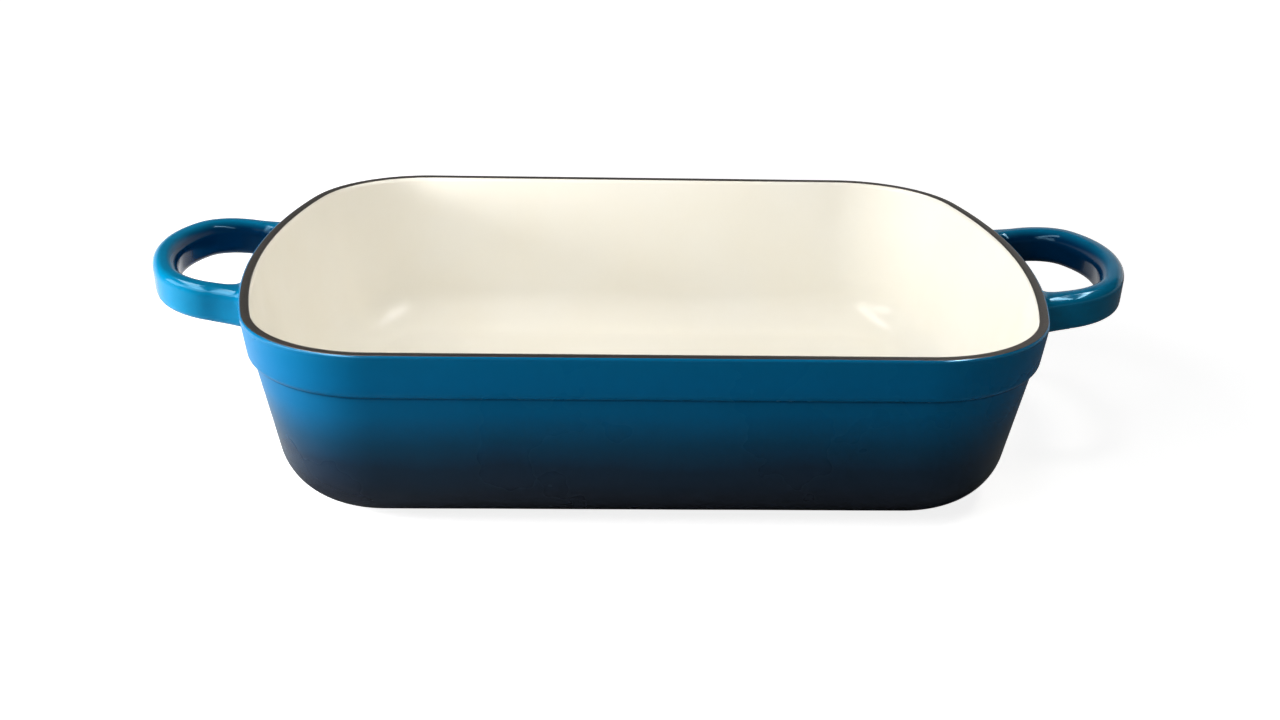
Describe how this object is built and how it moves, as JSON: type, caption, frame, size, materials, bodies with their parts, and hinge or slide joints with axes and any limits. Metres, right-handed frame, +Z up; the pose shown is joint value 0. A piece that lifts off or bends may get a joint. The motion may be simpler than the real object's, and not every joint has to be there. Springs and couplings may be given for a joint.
{
  "type": "roasting dish",
  "caption": "Rectangular cast iron roasting dish with bowed ends, a raised band below a flat rim, a smooth deep cavity and a loop handle at each end, enamelled inside and out.",
  "frame": {"origin": "centre of the flat base, on the surface that the dish stands on", "axes": "+X along the long side, from the left handle to the right handle; +Y from the front side to the back side; +Z up out of the cavity"},
  "size_m": [0.4114, 0.242, 0.0793],
  "materials": {
    "iron": "matte",
    "blue_enamel": "satin",
    "handle_enamel": "gloss",
    "cream_enamel": "gloss",
    "rim_enamel": "matte",
    "base_enamel": "matte"
  },
  "bodies": {
    "root": {"pan_casting": "iron", "left_handle_casting": "iron", "right_handle_casting": "iron", "exterior_enamel": "blue_enamel", "left_handle_enamel": "handle_enamel", "right_handle_enamel": "handle_enamel", "interior_enamel": "cream_enamel", "rim_enamel": "rim_enamel", "base_enamel": "base_enamel"}
  },
  "joints": []
}
